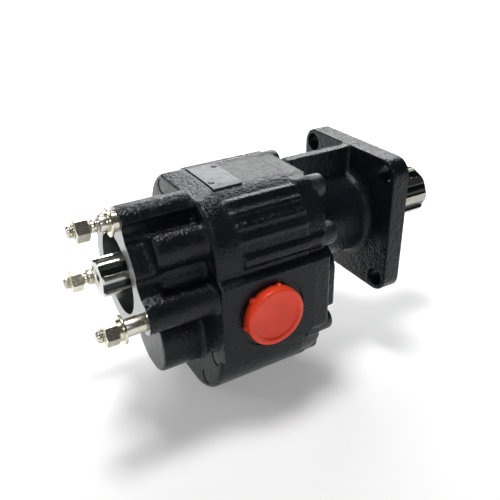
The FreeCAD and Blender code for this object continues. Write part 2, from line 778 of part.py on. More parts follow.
os.makedirs("parts", exist_ok=True)
export("front_cover", [make_front_cover()])
export("pump_body", [make_pump_body()])
export("drive_shaft", [make_drive_shaft()])
export("driven_gear", [make_driven_gear()])
export("front_drive_bush", [make_bush(seam_front, seam_front + front_bush_length, front_journal_r, 0.0)])
export("rear_drive_bush", [make_bush(chamber_rear - rear_bush_length, chamber_rear, rear_journal_r, 0.0)])
export("front_driven_bush", [make_bush(seam_front, seam_front + driven_bush_length,
                                       driven_journal_r, driven_z)])
export("rear_driven_bush", [make_bush(chamber_rear - driven_bush_length, chamber_rear,
                                      driven_journal_r, driven_z)])
export("front_wear_plate", [make_wear_plate(seam_front - wear_plate_t, seam_front,
                                            seam_front - body_seal_depth, seam_front)])
export("rear_wear_plate", [make_wear_plate(chamber_rear, chamber_rear + wear_plate_t,
                                           chamber_rear, chamber_rear + body_seal_depth)])
export("front_plate_seal", [plate_seal_ring(seam_front - body_seal_depth, seam_front, fit_gap)])
export("rear_plate_seal", [plate_seal_ring(chamber_rear, chamber_rear + body_seal_depth, fit_gap)])
export("body_seal", [body_seal_ring(seam_front - body_seal_depth, seam_front, fit_gap)])
export("front_shaft_seal", [make_shaft_seal(front_seal_x(), front_journal_r, front_seal_wall)])
export("rear_shaft_seal", [make_shaft_seal(rear_seal_x(), rear_journal_r, rear_seal_wall)])
export("front_snap_ring", [make_snap_ring(front_seal_x() + shaft_seal_width,
                                          front_journal_r + front_seal_wall)])
export("rear_snap_ring", [make_snap_ring(rear_seal_x() - snap_ring_t, rear_journal_r + rear_seal_wall)])
export("cover_screws", make_cover_screws())
export("dowel_pins", make_dowels())
export("mounting_studs", make_studs())
export("stud_nuts", [make_nut(index) for index in range(3)])
export("flat_washers", make_flat_washers())
export("spring_washers", make_spring_washers())
export("stud_spacers", make_spacers())
export("nameplate", [make_nameplate()])
export("nameplate_rivets", make_rivets())
export("near_port_cap", [make_port_cap(-1)])
export("far_port_cap", [make_port_cap(1)])
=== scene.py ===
import json
import math

import bmesh
import bpy
from mathutils import Matrix, Vector


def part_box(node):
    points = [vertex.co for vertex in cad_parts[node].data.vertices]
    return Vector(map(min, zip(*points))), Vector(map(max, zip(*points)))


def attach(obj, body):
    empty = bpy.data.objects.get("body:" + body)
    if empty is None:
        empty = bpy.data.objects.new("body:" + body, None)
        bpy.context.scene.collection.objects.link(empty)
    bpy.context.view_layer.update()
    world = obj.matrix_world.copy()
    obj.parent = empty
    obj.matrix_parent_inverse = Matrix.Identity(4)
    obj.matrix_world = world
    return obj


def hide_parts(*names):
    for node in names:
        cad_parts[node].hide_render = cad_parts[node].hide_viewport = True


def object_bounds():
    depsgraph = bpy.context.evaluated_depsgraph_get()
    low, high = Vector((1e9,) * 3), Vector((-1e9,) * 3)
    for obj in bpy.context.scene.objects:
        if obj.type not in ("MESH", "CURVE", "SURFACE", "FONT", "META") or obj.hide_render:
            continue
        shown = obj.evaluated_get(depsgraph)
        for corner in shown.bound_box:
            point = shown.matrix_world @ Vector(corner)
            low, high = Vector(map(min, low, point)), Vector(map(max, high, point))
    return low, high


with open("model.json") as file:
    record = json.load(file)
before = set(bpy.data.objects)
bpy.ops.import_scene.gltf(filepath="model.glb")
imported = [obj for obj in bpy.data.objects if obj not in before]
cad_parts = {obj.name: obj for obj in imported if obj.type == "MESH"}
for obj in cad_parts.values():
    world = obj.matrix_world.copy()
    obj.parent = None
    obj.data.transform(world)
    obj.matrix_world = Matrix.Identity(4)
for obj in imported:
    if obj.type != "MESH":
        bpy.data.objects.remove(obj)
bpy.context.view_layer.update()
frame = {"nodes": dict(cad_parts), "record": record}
nodes = frame["nodes"]
scene = bpy.context.scene
print("frame loaded,", len(nodes), "nodes")


# ways to build meshes

def meshObject(name, bm, material=None):
    mesh = bpy.data.meshes.new(name)
    bm.to_mesh(mesh)
    bm.free()
    obj = bpy.data.objects.new(name, mesh)
    scene.collection.objects.link(obj)
    if material:
        mesh.materials.append(material)
    return obj


def drop(obj):
    mesh = obj.data
    bpy.data.objects.remove(obj)
    if mesh.users == 0:
        bpy.data.meshes.remove(mesh)


def bake(obj, name):
    # plain mesh of whatever the modifiers give, in a new object
    bpy.context.view_layer.update()
    graph = bpy.context.evaluated_depsgraph_get()
    shaped = obj.evaluated_get(graph)
    mesh = bpy.data.meshes.new_from_object(shaped, preserve_all_data_layers=True, depsgraph=graph)
    made = bpy.data.objects.new(name, mesh)
    scene.collection.objects.link(made)
    drop(obj)
    return made


def smoothByAngle(obj, degrees):
    obj.data.shade_smooth()
    obj.data.set_sharp_from_angle(angle=math.radians(degrees))


def nodeMesh(nodeName):
    # the node's triangles joined into closed shells
    bm = bmesh.new()
    bm.from_mesh(nodes[nodeName].data)
    bmesh.ops.remove_doubles(bm, verts=bm.verts, dist=2e-6)
    return bm


def solidBoxes(nodeName):
    # lowest and highest corner of each solid in a node
    bm = nodeMesh(nodeName)
    left = set(bm.verts)
    boxes = []
    while left:
        first = left.pop()
        stack, members = [first], [first]
        while stack:
            for edge in stack.pop().link_edges:
                for vert in edge.verts:
                    if vert in left:
                        left.discard(vert)
                        stack.append(vert)
                        members.append(vert)
        low = Vector(min(v.co[i] for v in members) for i in range(3))
        high = Vector(max(v.co[i] for v in members) for i in range(3))
        boxes.append((low, high))
    bm.free()
    return boxes


def middle(box):
    return (box[0] + box[1]) / 2


def onAxes(boxes, x=None):
    # the point on each solid's own axis at a station, or at its rear end
    return [Vector((box[0].x if x is None else x, middle(box).y, middle(box).z)) for box in boxes]


def ringPoint(along, reach, angle):
    return Vector((along, reach * math.cos(angle), reach * math.sin(angle)))


def bridge(bm, rings):
    for a, b in zip(rings, rings[1:]):
        count = max(len(a), len(b))
        for i in range(count):
            j = (i + 1) % count
            if len(a) == 1:
                bm.faces.new((a[0], b[i], b[j]))
            elif len(b) == 1:
                bm.faces.new((a[i], b[0], a[j]))
            else:
                bm.faces.new((a[i], b[i], b[j], a[j]))


def lathe(profile, segments=64, bm=None, place=Matrix.Identity(4), closed=False):
    # turns (station, radius) pairs about X, where either may be a function of the angle
    bm = bm or bmesh.new()
    rings = []
    for along, radius in profile:
        if radius == 0:
            rings.append([bm.verts.new(place @ Vector((along, 0, 0)))])
            continue
        ring = []
        for i in range(segments):
            angle = 2 * math.pi * i / segments
            reach = radius(angle) if callable(radius) else radius
            station = along(angle) if callable(along) else along
            ring.append(bm.verts.new(place @ ringPoint(station, reach, angle)))
        rings.append(ring)
    if closed:
        rings.append(rings[0])
    bridge(bm, rings)
    return bm


def tidyNormals(bm):
    bmesh.ops.remove_doubles(bm, verts=bm.verts, dist=1e-7)
    bmesh.ops.recalc_face_normals(bm, faces=bm.faces)
    return bm


def rodMesh(x0, x1, radius, y=0.0, z=0.0, segments=96, bm=None, place=None):
    # closed cylinder along X, or along the X axis of its place
    if place is None:
        place = Matrix.Translation((0, y, z))
    return lathe([(x0, 0), (x0, radius), (x1, radius), (x1, 0)], segments, bm, place)


def rodAt(box, x0, x1, radius, segments=48, bm=None):
    # cylinder on the axis of a fastener
    return rodMesh(x0, x1, radius, middle(box).y, middle(box).z, segments, bm)


def boxMesh(low, high, bm=None):
    bm = bm or bmesh.new()
    place = Matrix.Translation((Vector(low) + Vector(high)) / 2)
    size = Vector(high) - Vector(low)
    bmesh.ops.create_cube(bm, size=1.0, matrix=place @ Matrix.Diagonal((*size, 1.0)))
    return bm


# materials

def newMaterial(name, color, roughness, metallic=0.0, specular=0.5):
    material = bpy.data.materials.new(name)
    material.use_nodes = True
    shader = material.node_tree.nodes["Principled BSDF"]
    shader.inputs["Base Color"].default_value = (*color, 1)
    shader.inputs["Roughness"].default_value = roughness
    shader.inputs["Metallic"].default_value = metallic
    shader.inputs["Specular IOR Level"].default_value = specular
    return material, material.node_tree, shader


def addNode(tree, kind, values=None, **options):
    node = tree.nodes.new(kind)
    for key, value in options.items():
        setattr(node, key, value)
    for key, value in (values or {}).items():
        if isinstance(value, bpy.types.NodeSocket):
            tree.links.new(value, node.inputs[key])
        else:
            node.inputs[key].default_value = value
    return node


def objectCoords(tree, scale=(1, 1, 1)):
    coords = addNode(tree, "ShaderNodeTexCoord").outputs["Object"]
    return addNode(tree, "ShaderNodeMapping", {"Vector": coords, "Scale": scale}).outputs[0]


def noiseOf(tree, where, scale, detail=3.0, rough=0.55, distortion=0.0):
    values = {"Vector": where, "Scale": scale, "Detail": detail, "Roughness": rough,
              "Distortion": distortion}
    return addNode(tree, "ShaderNodeTexNoise", values).outputs["Fac"]


def rampOf(tree, factor, stops):
    ramp = addNode(tree, "ShaderNodeValToRGB", {"Fac": factor})
    elements = ramp.color_ramp.elements
    while len(elements) < len(stops):
        elements.new(0.5)
    for element, (position, color) in zip(elements, stops):
        element.position = position
        element.color = (*color, 1)
    return ramp.outputs["Color"]


def mathOf(tree, operation, a, b):
    return addNode(tree, "ShaderNodeMath", {0: a, 1: b}, operation=operation).outputs[0]


def rangeOf(tree, value, low, high, outLow, outHigh):
    values = {"Value": value, "From Min": low, "From Max": high, "To Min": outLow, "To Max": outHigh}
    return addNode(tree, "ShaderNodeMapRange", values).outputs[0]


def mixOf(tree, share, first, second):
    return addNode(tree, "ShaderNodeMix", {0: share, 6: first, 7: second}, data_type="RGBA").outputs[2]


def feed(tree, shader, color, roughness):
    tree.links.new(color, shader.inputs["Base Color"])
    tree.links.new(roughness, shader.inputs["Roughness"])


def bumpOf(tree, shader, height, strength, distance):
    bump = addNode(tree, "ShaderNodeBump", {"Height": height, "Strength": strength, "Distance": distance})
    tree.links.new(bump.outputs[0], shader.inputs["Normal"])


castPaintLook = {
    "dark": (0.0030, 0.0050, 0.0066),
    "light": (0.0090, 0.0130, 0.0160),
    "roughness": (0.07, 0.17),
    "specular": 0.21,
    "grainScale": 780,  # per metre, the sand grain under the paint
    "pitScale": 585,
    "waveScale": 260,
    "dustScale": 60,
    "shares": (0.75, 0.8, 0.5),  # of grain, wave and pits in the height
    "grainHeight": 0.00046,
}


def castPaintMaterial(name, look, bumpShare):
    material, tree, shader = newMaterial(name, look["dark"], 0.3, 0.0, look["specular"])
    where = objectCoords(tree)
    grain = noiseOf(tree, where, look["grainScale"], 4.0, 0.6, 0.3)
    wave = noiseOf(tree, where, look["waveScale"], 2.0, 0.5, 0.6)
    dust = noiseOf(tree, where, look["dustScale"], 5.0, 0.65)
    cells = {"Vector": where, "Scale": look["pitScale"]}
    pits = addNode(tree, "ShaderNodeTexVoronoi", cells, feature="SMOOTH_F1").outputs["Distance"]
    grainPart, wavePart, pitPart = (
        mathOf(tree, "MULTIPLY", source, share) for source, share in zip((grain, wave, pits), look["shares"]))
    height = mathOf(tree, "ADD", mathOf(tree, "ADD", grainPart, wavePart), pitPart)
    shade = mathOf(tree, "MULTIPLY", grain, dust)
    color = rampOf(tree, shade, [(0.12, look["dark"]), (0.42, look["light"])])
    feed(tree, shader, color, rangeOf(tree, wave, 0.3, 0.75, *look["roughness"]))
    bumpOf(tree, shader, height, 1.0, look["grainHeight"] * bumpShare)
    return material


castPaint = castPaintMaterial("castPaint", castPaintLook, 1.0)
smoothPaint = castPaintMaterial("smoothPaint", {**castPaintLook, "roughness": (0.22, 0.32)}, 0.15)

machinedLooks = {
    "machinedIron": {"color": (0.42, 0.43, 0.43), "ringScale": 260, "stainScale": 140, "stainDark": 0.72,
                     "roughness": (0.24, 0.40)},
    # painted light: the bore iron is the machined iron made lighter, standing in for light inside the bores
    "boreIron": {"color": (0.46, 0.48, 0.48), "ringScale": 300, "stainScale": 90, "stainDark": 0.7,
                 "roughness": (0.26, 0.40)},
}


def machinedMaterial(name, look):
    # turned metal with fine rings about the shaft's axis
    material, tree, shader = newMaterial(name, look["color"], 0.3, 1.0)
    where = objectCoords(tree)
    waves = {"Vector": where, "Scale": look["ringScale"], "Distortion": 1.2, "Detail": 2.0,
             "Detail Scale": 2.0}
    rings = addNode(tree, "ShaderNodeTexWave", waves, wave_type="RINGS", rings_direction="X").outputs["Fac"]
    stain = noiseOf(tree, where, look["stainScale"], 5.0, 0.6)
    ringShade = rangeOf(tree, rings, 0, 1, 0.86, 1.0)
    stainShade = rangeOf(tree, stain, 0.3, 0.7, look["stainDark"], 1.0)
    shade = mathOf(tree, "MULTIPLY", ringShade, stainShade)
    color = mixOf(tree, shade, (0.02, 0.02, 0.02, 1), (*look["color"], 1))
    feed(tree, shader, color, rangeOf(tree, stain, 0.25, 0.75, *look["roughness"]))
    bumpOf(tree, shader, rings, 0.35, 0.00002)
    return material


machinedIron, boreIron = (machinedMaterial(name, look) for name, look in machinedLooks.items())

metalLooks = {
    "yellowZinc": {"color": (0.80, 0.78, 0.68), "second": (0.68, 0.62, 0.47), "patchScale": 260,
                   "fineScale": 2600, "roughness": (0.16, 0.32), "fineHeight": 0.00001},
    "brightZinc": {"color": (0.74, 0.73, 0.68), "second": (0.62, 0.57, 0.44), "patchScale": 180,
                   "fineScale": 2400, "roughness": (0.2, 0.38)},
    "blackOxide": {"color": (0.016, 0.018, 0.02), "second": (0.03, 0.032, 0.034), "patchScale": 300,
                   "fineScale": 2500, "roughness": (0.22, 0.36), "metallic": 0.4},
    "bearingBronze": {"color": (0.55, 0.36, 0.15), "second": (0.43, 0.26, 0.11), "patchScale": 220,
                      "fineScale": 1800, "roughness": (0.25, 0.4)},
    "groundSteel": {"color": (0.56, 0.56, 0.55), "second": (0.47, 0.47, 0.46), "patchScale": 120,
                    "fineScale": 900, "roughness": (0.18, 0.3), "stretch": (8, 1, 1)},
    "wearPlateMetal": {"color": (0.60, 0.58, 0.54), "second": (0.52, 0.45, 0.34), "patchScale": 150,
                       "fineScale": 1500, "roughness": (0.3, 0.45)},
}


def metalMaterial(name, look):
    # plated or ground metal with soft patches of a second tone
    material, tree, shader = newMaterial(name, look["color"], 0.3, look.get("metallic", 1.0))
    where = objectCoords(tree, look.get("stretch", (1, 1, 1)))
    patch = noiseOf(tree, where, look["patchScale"], 4.0, 0.6, 0.4)
    fine = noiseOf(tree, where, look["fineScale"], 2.0, 0.5)
    color = rampOf(tree, patch, [(0.35, look["color"]), (0.66, look["second"])])
    feed(tree, shader, color, rangeOf(tree, fine, 0.3, 0.7, *look["roughness"]))
    bumpOf(tree, shader, fine, 0.4, look.get("fineHeight", 0.00002))
    return material


zinc, brightZinc, blackOxide, bronze, groundSteel, plateMetal = (
    metalMaterial(name, look) for name, look in metalLooks.items())


def rubberMaterial():
    material, tree, shader = newMaterial("sealRubber", (0.012, 0.012, 0.013), 0.55)
    where = objectCoords(tree)
    grain = noiseOf(tree, where, 1400, 3.0)
    color = rampOf(tree, grain, [(0.3, (0.009, 0.009, 0.010)), (0.7, (0.020, 0.020, 0.021))])
    feed(tree, shader, color, rangeOf(tree, grain, 0.3, 0.7, 0.45, 0.65))
    bumpOf(tree, shader, grain, 0.3, 0.00003)
    return material


rubber = rubberMaterial()

shaftLook = {
    "oiledFrom": (-0.02, 0.0),  # stations where the bright steel turns to oiled steel
    "rearGroove": (0.0109, 0.0122),  # radii where the painted shade in the grooves fades out
    "frontGroove": (0.0164, 0.0176),
    "bright": ((0.60, 0.60, 0.58), (0.48, 0.48, 0.46)),
    "oiled": ((0.46, 0.46, 0.41), (0.33, 0.33, 0.28)),
    # the colour of the painted shade in the spline grooves
    "oil": (0.035, 0.045, 0.042, 1),
}


def shaftMaterial(look):
    # bright steel at the rear, oiled and duller towards the front end
    material, tree, shader = newMaterial("splineSteel", (0.6, 0.6, 0.58), 0.25, 1.0)
    streak = noiseOf(tree, objectCoords(tree, (1, 3, 3)), 160, 3.0, 0.5)
    along = addNode(tree, "ShaderNodeSeparateXYZ", {"Vector": objectCoords(tree)}).outputs["X"]
    front = rangeOf(tree, along, *look["oiledFrom"], 0.0, 1.0)
    across = objectCoords(tree, (0, 1, 1))
    reach = addNode(tree, "ShaderNodeVectorMath", {0: across}, operation="LENGTH").outputs["Value"]
    # painted shade: the spline grooves are darkened from their roots partway up their turned sides, on the
    # rear spline and on the oiled front end
    rearGroove = rangeOf(tree, reach, *look["rearGroove"], 1.0, 0.0)
    frontGroove = mathOf(tree, "MULTIPLY", rangeOf(tree, reach, *look["frontGroove"], 1.0, 0.0), front)
    normal = addNode(tree, "ShaderNodeNewGeometry").outputs["Normal"]
    faceSide = addNode(tree, "ShaderNodeSeparateXYZ", {"Vector": normal}).outputs["X"]
    turned = mathOf(tree, "LESS_THAN", mathOf(tree, "ABSOLUTE", faceSide, 0.0), 0.6)
    groove = mathOf(tree, "MULTIPLY", mathOf(tree, "MAXIMUM", rearGroove, frontGroove), turned)
    bright, oiled = (
        rampOf(tree, streak, [(0.3, look[key][0]), (0.7, look[key][1])]) for key in ("bright", "oiled"))
    color = mixOf(tree, groove, mixOf(tree, front, bright, oiled), look["oil"])
    feed(tree, shader, color, rangeOf(tree, streak, 0.3, 0.7, 0.12, 0.24))
    bumpOf(tree, shader, streak, 0.08, 0.00001)
    return material


splineSteel = shaftMaterial(shaftLook)


def capMaterial():
    material, tree, shader = newMaterial("redPolythene", (0.62, 0.045, 0.018), 0.38, 0.0, 0.35)
    where = objectCoords(tree)
    cloud = noiseOf(tree, where, 55, 3.0, 0.5)
    grain = noiseOf(tree, where, 900, 2.0)
    color = rampOf(tree, cloud, [(0.3, (0.88, 0.060, 0.020)), (0.7, (0.76, 0.042, 0.012))])
    feed(tree, shader, color, rangeOf(tree, cloud, 0.3, 0.7, 0.34, 0.46))
    shader.inputs["Subsurface Weight"].default_value = 0.12
    shader.inputs["Subsurface Radius"].default_value = (0.004, 0.001, 0.0006)
    shader.inputs["Subsurface Scale"].default_value = 1.0
    bumpOf(tree, shader, grain, 0.15, 0.00003)
    return material


redCap = capMaterial()


def tagMaterial():
    # thin aluminium with a brushed grain and a few rubbed marks
    material, tree, shader = newMaterial("tagAluminium", (0.18, 0.19, 0.20), 0.45, 0.9)
    brushed = noiseOf(tree, objectCoords(tree, (1, 30, 1)), 300, 3.0)
    marks = noiseOf(tree, objectCoords(tree), 160, 6.0, 0.7, 1.0)
    stops = [(0.34, (0.02, 0.024, 0.028)), (0.42, (0.07, 0.074, 0.08)), (0.7, (0.11, 0.115, 0.122))]
    feed(tree, shader, rampOf(tree, marks, stops), rangeOf(tree, brushed, 0.3, 0.7, 0.38, 0.52))
    bumpOf(tree, shader, brushed, 0.3, 0.00002)
    return material


tagMetal = tagMaterial()
print("materials made")


# geometry node trees

def newTree(name, inputs):
    tree = bpy.data.node_groups.new(name, "GeometryNodeTree")
    tree.interface.new_socket("Geometry", in_out="INPUT", socket_type="NodeSocketGeometry")
    tree.interface.new_socket("Geometry", in_out="OUTPUT", socket_type="NodeSocketGeometry")
    for label, kind in inputs.items():
        tree.interface.new_socket(label, in_out="INPUT", socket_type="NodeSocket" + kind)
    return tree, addNode(tree, "NodeGroupInput"), addNode(tree, "NodeGroupOutput")


def endTree(tree, source, output, geometry):
    realized = addNode(tree, "GeometryNodeRealizeInstances", {"Geometry": geometry}).outputs[0]
    values = {"Geometry": realized, "Material": source.outputs["Material"]}
    painted = addNode(tree, "GeometryNodeSetMaterial", values)
    tree.links.new(painted.outputs[0], output.inputs[0])


def copyOnPoints(tree, source, piece, **extra):
    # one instance of the piece on each vertex of the mesh that comes in
    points = addNode(tree, "GeometryNodeMeshToPoints", {"Mesh": source.outputs["Geometry"]}).outputs[0]
    values = {"Points": points, "Instance": piece, **extra}
    return addNode(tree, "GeometryNodeInstanceOnPoints", values).outputs[0]


def runTree(tree, obj, values, name):
    modifier = obj.modifiers.new(tree.name, "NODES")
    modifier.node_group = tree
    for item in tree.interface.items_tree:
        if item.in_out == "INPUT" and item.name in values:
            modifier[item.identifier] = values[item.name]
    made = bake(obj, name)
    made.modifiers.clear()
    return made


def castSkinTree():
    # presses a cast surface in along its normal, more or less by two sizes of noise
    tree, source, output = newTree("castSkin", {
        "Depth": "Float", "Lump Size": "Float", "Grain Size": "Float", "Seed": "Float",
        "Material": "Material"})
    position = addNode(tree, "GeometryNodeInputPosition").outputs[0]
    normal = addNode(tree, "GeometryNodeInputNormal").outputs[0]
    seeded = {0: position, 1: source.outputs["Seed"]}
    shifted = addNode(tree, "ShaderNodeVectorMath", seeded, operation="ADD").outputs[0]
    total = 0.0
    for label, share in (("Lump Size", 1.0), ("Grain Size", 0.55)):
        scale = mathOf(tree, "DIVIDE", 1.0, source.outputs[label])
        noise = {"Vector": shifted, "Scale": scale, "Detail": 2.0}
        fac = addNode(tree, "ShaderNodeTexNoise", noise).outputs["Fac"]
        term = mathOf(tree, "MULTIPLY", mathOf(tree, "SUBTRACT", fac, 0.8), share)
        total = mathOf(tree, "ADD", total, term)
    push = mathOf(tree, "MULTIPLY", total, source.outputs["Depth"])
    offset = addNode(tree, "ShaderNodeVectorMath", {0: normal, 3: push}, operation="SCALE").outputs[0]
    values = {"Geometry": source.outputs["Geometry"], "Offset": offset}
    moved = addNode(tree, "GeometryNodeSetPosition", values)
    endTree(tree, source, output, moved.outputs[0])
    return tree


def setOutTree():
    # one copy of a piece on each point, turned about X by the point's own angle
    tree, source, output = newTree("setOut", {"Piece": "Object", "Material": "Material"})
    values = {"Object": source.outputs["Piece"], "As Instance": True}
    info = addNode(tree, "GeometryNodeObjectInfo", values)
    angle = addNode(tree, "GeometryNodeInputNamedAttribute", {"Name": "turn"}, data_type="FLOAT")
    turn = addNode(tree, "ShaderNodeCombineXYZ", {"X": angle.outputs["Attribute"]}).outputs[0]
    endTree(tree, source, output, copyOnPoints(tree, source, info.outputs["Geometry"], Rotation=turn))
    return tree


def threadTree():
    # a ridge wound round each stud, from a spiral and a three-sided profile
    tree, source, output = newTree("studThread", {
        "Piece": "Object", "Radius": "Float", "Pitch": "Float", "Start": "Float", "Length": "Float",
        "Material": "Material"})
    radius, pitch, length = (source.outputs[label] for label in ("Radius", "Pitch", "Length"))
    turns = mathOf(tree, "DIVIDE", length, pitch)
    winding = {"Resolution": 28, "Rotations": turns, "Start Radius": radius, "End Radius": radius,
               "Height": length}
    spiral = addNode(tree, "GeometryNodeCurveSpiral", winding).outputs[0]
    half = mathOf(tree, "MULTIPLY", pitch, 0.56)
    triangle = {"Resolution": 3, "Radius": half}
    profile = addNode(tree, "GeometryNodeCurvePrimitiveCircle", triangle, mode="RADIUS").outputs[0]
    swept = {"Curve": spiral, "Profile Curve": profile, "Fill Caps": True}
    ridge = addNode(tree, "GeometryNodeCurveToMesh", swept).outputs[0]
    start = addNode(tree, "ShaderNodeCombineXYZ", {"X": source.outputs["Start"]}).outputs[0]
    turned = {"Geometry": ridge, "Translation": start, "Rotation": (0, math.pi / 2, 0)}
    laid = addNode(tree, "GeometryNodeTransform", turned)
    info = addNode(tree, "GeometryNodeObjectInfo", {"Object": source.outputs["Piece"]})
    join = addNode(tree, "GeometryNodeJoinGeometry")
    tree.links.new(laid.outputs[0], join.inputs[0])
    tree.links.new(info.outputs["Geometry"], join.inputs[0])
    endTree(tree, source, output, copyOnPoints(tree, source, join.outputs[0]))
    return tree


castSkin = castSkinTree()
setOut = setOutTree()


def pointCloud(places, turns=None):
    mesh = bpy.data.meshes.new("places")
    mesh.from_pydata([tuple(p) for p in places], [], [])
    attribute = mesh.attributes.new("turn", "FLOAT", "POINT")
    for i, turn in enumerate(turns or [0.0] * len(places)):
        attribute.data[i].value = turn
    obj = bpy.data.objects.new("places", mesh)
    scene.collection.objects.link(obj)
    return obj


def placeCopies(prototype, places, material, name, turns=None):
    made = runTree(setOut, pointCloud(places, turns), {"Piece": prototype, "Material": material}, name)
    drop(prototype)
    smoothByAngle(made, 28)
    return made


# castings

castingShape = {
    "voxel": 0.0010,
    "smoothSteps": 5,
    "softSteps": 22,
    "skin": {"Depth": 0.00038, "Lump Size": 0.0034, "Grain Size": 0.0018},
    "stock": 0.0025,  # extra metal left on a machined face before it is cut
    "seamStock": 0.0005,  # less at the seam, so that its edges stay rounded
    "reach": 0.003,  # how far a cutting tool runs past the face that it enters
    "sharpAngle": 38,
}


def addStock(bm, faces):
    # moves the vertices of each machined face outwards
    for axis, level, shift in faces:
        for vert in bm.verts:
            if abs(vert.co[axis] - level) < 1e-5:
                vert.co[axis] += shift


def smoothOver(obj, name, steps, group=None):
    smooth = obj.modifiers.new("smooth", "SMOOTH")
    smooth.factor = 0.5
    smooth.iterations = steps
    if group:
        smooth.vertex_group = group.name
    return bake(obj, name)


def roughCasting(bm, name, seed, softBelow=None):
    rough = meshObject(name, bm)
    remesh = rough.modifiers.new("remesh", "REMESH")
    remesh.mode = "VOXEL"
    remesh.voxel_size = castingShape["voxel"]
    rough = smoothOver(rough, name, castingShape["smoothSteps"])
    if softBelow is not None:
        # larger cast radii on the part behind this station
        group = rough.vertex_groups.new(name="soft")
        group.add([v.index for v in rough.data.vertices if v.co.x < softBelow], 1.0, "REPLACE")
        rough = smoothOver(rough, name, castingShape["softSteps"], group)
        rough.vertex_groups.clear()
    return runTree(castSkin, rough, {**castingShape["skin"], "Seed": seed, "Material": castPaint}, name)


def cut(obj, cutterMesh, material, name):
    cutter = meshObject("cutter", tidyNormals(cutterMesh), material)
    before = len(obj.data.polygons)
    boolean = obj.modifiers.new("cut", "BOOLEAN")
    boolean.operation = "DIFFERENCE"
    boolean.solver = "MANIFOLD"
    boolean.object = cutter
    boolean.material_mode = "TRANSFER"
    result = bake(obj, name)
    if len(result.data.polygons) == before:
        print("nothing was cut by a tool on", name)
    drop(cutter)
    return result


def cutAll(obj, name, tools):
    for cutterMesh, material in tools:
        obj = cut(obj, cutterMesh, material, name)
    return obj


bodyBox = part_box("pump_body")
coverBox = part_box("front_cover")
screwBoxes = solidBoxes("cover_screws")
studBoxes = solidBoxes("mounting_studs")
dowelBoxes = solidBoxes("dowel_pins")
rivetBoxes = solidBoxes("nameplate_rivets")
screwShape = {
    "headR": 0.008, "headH": 0.011, "socket": 0.008, "socketDepth": 0.0055, "socketEdge": 0.0003,
    "shankR": 0.005, "tipEdge": 0.0008, "shoulderGap": 0.0008, "edge": 0.0009, "knurls": 48,
    "knurlDepth": 0.00018, "segments": 192, "firstTurn": 17, "turnStep": 41,
}
mounts = {mount["name"]: mount for mount in frame["record"]["mounts"]}
rearX = mounts["rear_face"]["pos_m"][0]
port = Vector(mounts["near_port"]["pos_m"])
drivenZ = middle(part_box("driven_gear")).z
seamX = bodyBox[1].x
shoulderX = min(box[0].x for box in screwBoxes) - screwShape["shoulderGap"]
seatX = max(box[1].x for box in screwBoxes) - screwShape["headH"]
padY = bodyBox[1].y
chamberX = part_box("rear_wear_plate")[0].x
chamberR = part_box("rear_wear_plate")[1].y
reach = castingShape["reach"]
sideTurns = {1: Matrix.Rotation(math.pi / 2, 4, "Z"), -1: Matrix.Rotation(-math.pi / 2, 4, "Z")}
slabReach = ((-0.25, -0.1, -0.13), (0.02, 0.1, 0.1))


def portPlace(side):
    return Matrix.Translation((port.x, 0, port.z)) @ sideTurns[side]


def slabMesh(axis, start, end):
    # a block wider than the pump, between two levels on one axis
    low, high = Vector(slabReach[0]), Vector(slabReach[1])
    low[axis] = start
    high[axis] = end
    return boxMesh(low, high)


def steppedBore(start, steps):
    # outline of a bore from its steps, each a radius and the station where it ends
    outline = [(start, 0)]
    for radius, end in steps:
        outline += [(start, radius), (end, radius)]
        start = end
    return outline + [(start, 0)]


def sealRing(x0, x1, inner, outer, bm=None, segments=96):
    # racetrack ring round both gear axes
    bm = bm or bmesh.new()
    loops = []
    for x, radius in ((x0, inner), (x0, outer), (x1, outer), (x1, inner)):
        loop = []
        for i in range(segments):
            lowered = Vector((0, 0, drivenZ if i > segments / 2 else 0))
            loop.append(bm.verts.new(ringPoint(x, radius, 2 * math.pi * i / segments) + lowered))
        loops.append(loop)
    bridge(bm, loops + [loops[0]])
    return bm


bodyCuts = {
    "pilotR": 0.027, "pilotDepth": 0.020, "sealR": 0.0225, "shaftR": 0.017, "bushR": 0.0185,
    "ringR": 0.0237, "ringWidth": 0.0016, "bushRun": 0.001,
    "portR": 0.01515, "portDepth": 0.020, "portEdge": 0.0012, "passageR": 0.013, "passageInner": 0.010,
    "spotR": 0.024, "spotDepth": 0.001,
    "grooveDepth": 0.0018, "grooveInner": 0.0022, "grooveOuter": 0.0044,
    "screwR": 0.00505, "studR": 0.00405, "studDepth": 0.020, "dowelR": 0.004, "dowelDepth": 0.008,
    "rivetR": 0.00125, "rivetDepth": 0.01,
}

# the CAD body's openings are filled a little oversize before the remesh, and cut again after it
bodyPlugs = {
    "pilotR": 0.0276, "drivenR": 0.0192, "drivenStart": 0.024, "run": 0.002,
    "chamberR": 0.0325, "chamberRun": 0.001, "chamberHalf": 0.02, "segments": 128,
    "grooveDepth": 0.004, "grooveInner": 0.031, "grooveOuter": 0.0362, "spotEdge": 0.0005,
    "screwR": 0.0057, "screwGap": 0.0003, "pinR": 0.0048, "dowelDepth": 0.010, "studDepth": 0.022,
    "rivetR": 0.0018, "rivetStart": 0.0008, "rivetEnd": 0.003, "softGap": 0.0005, "seed": 0.37,
}


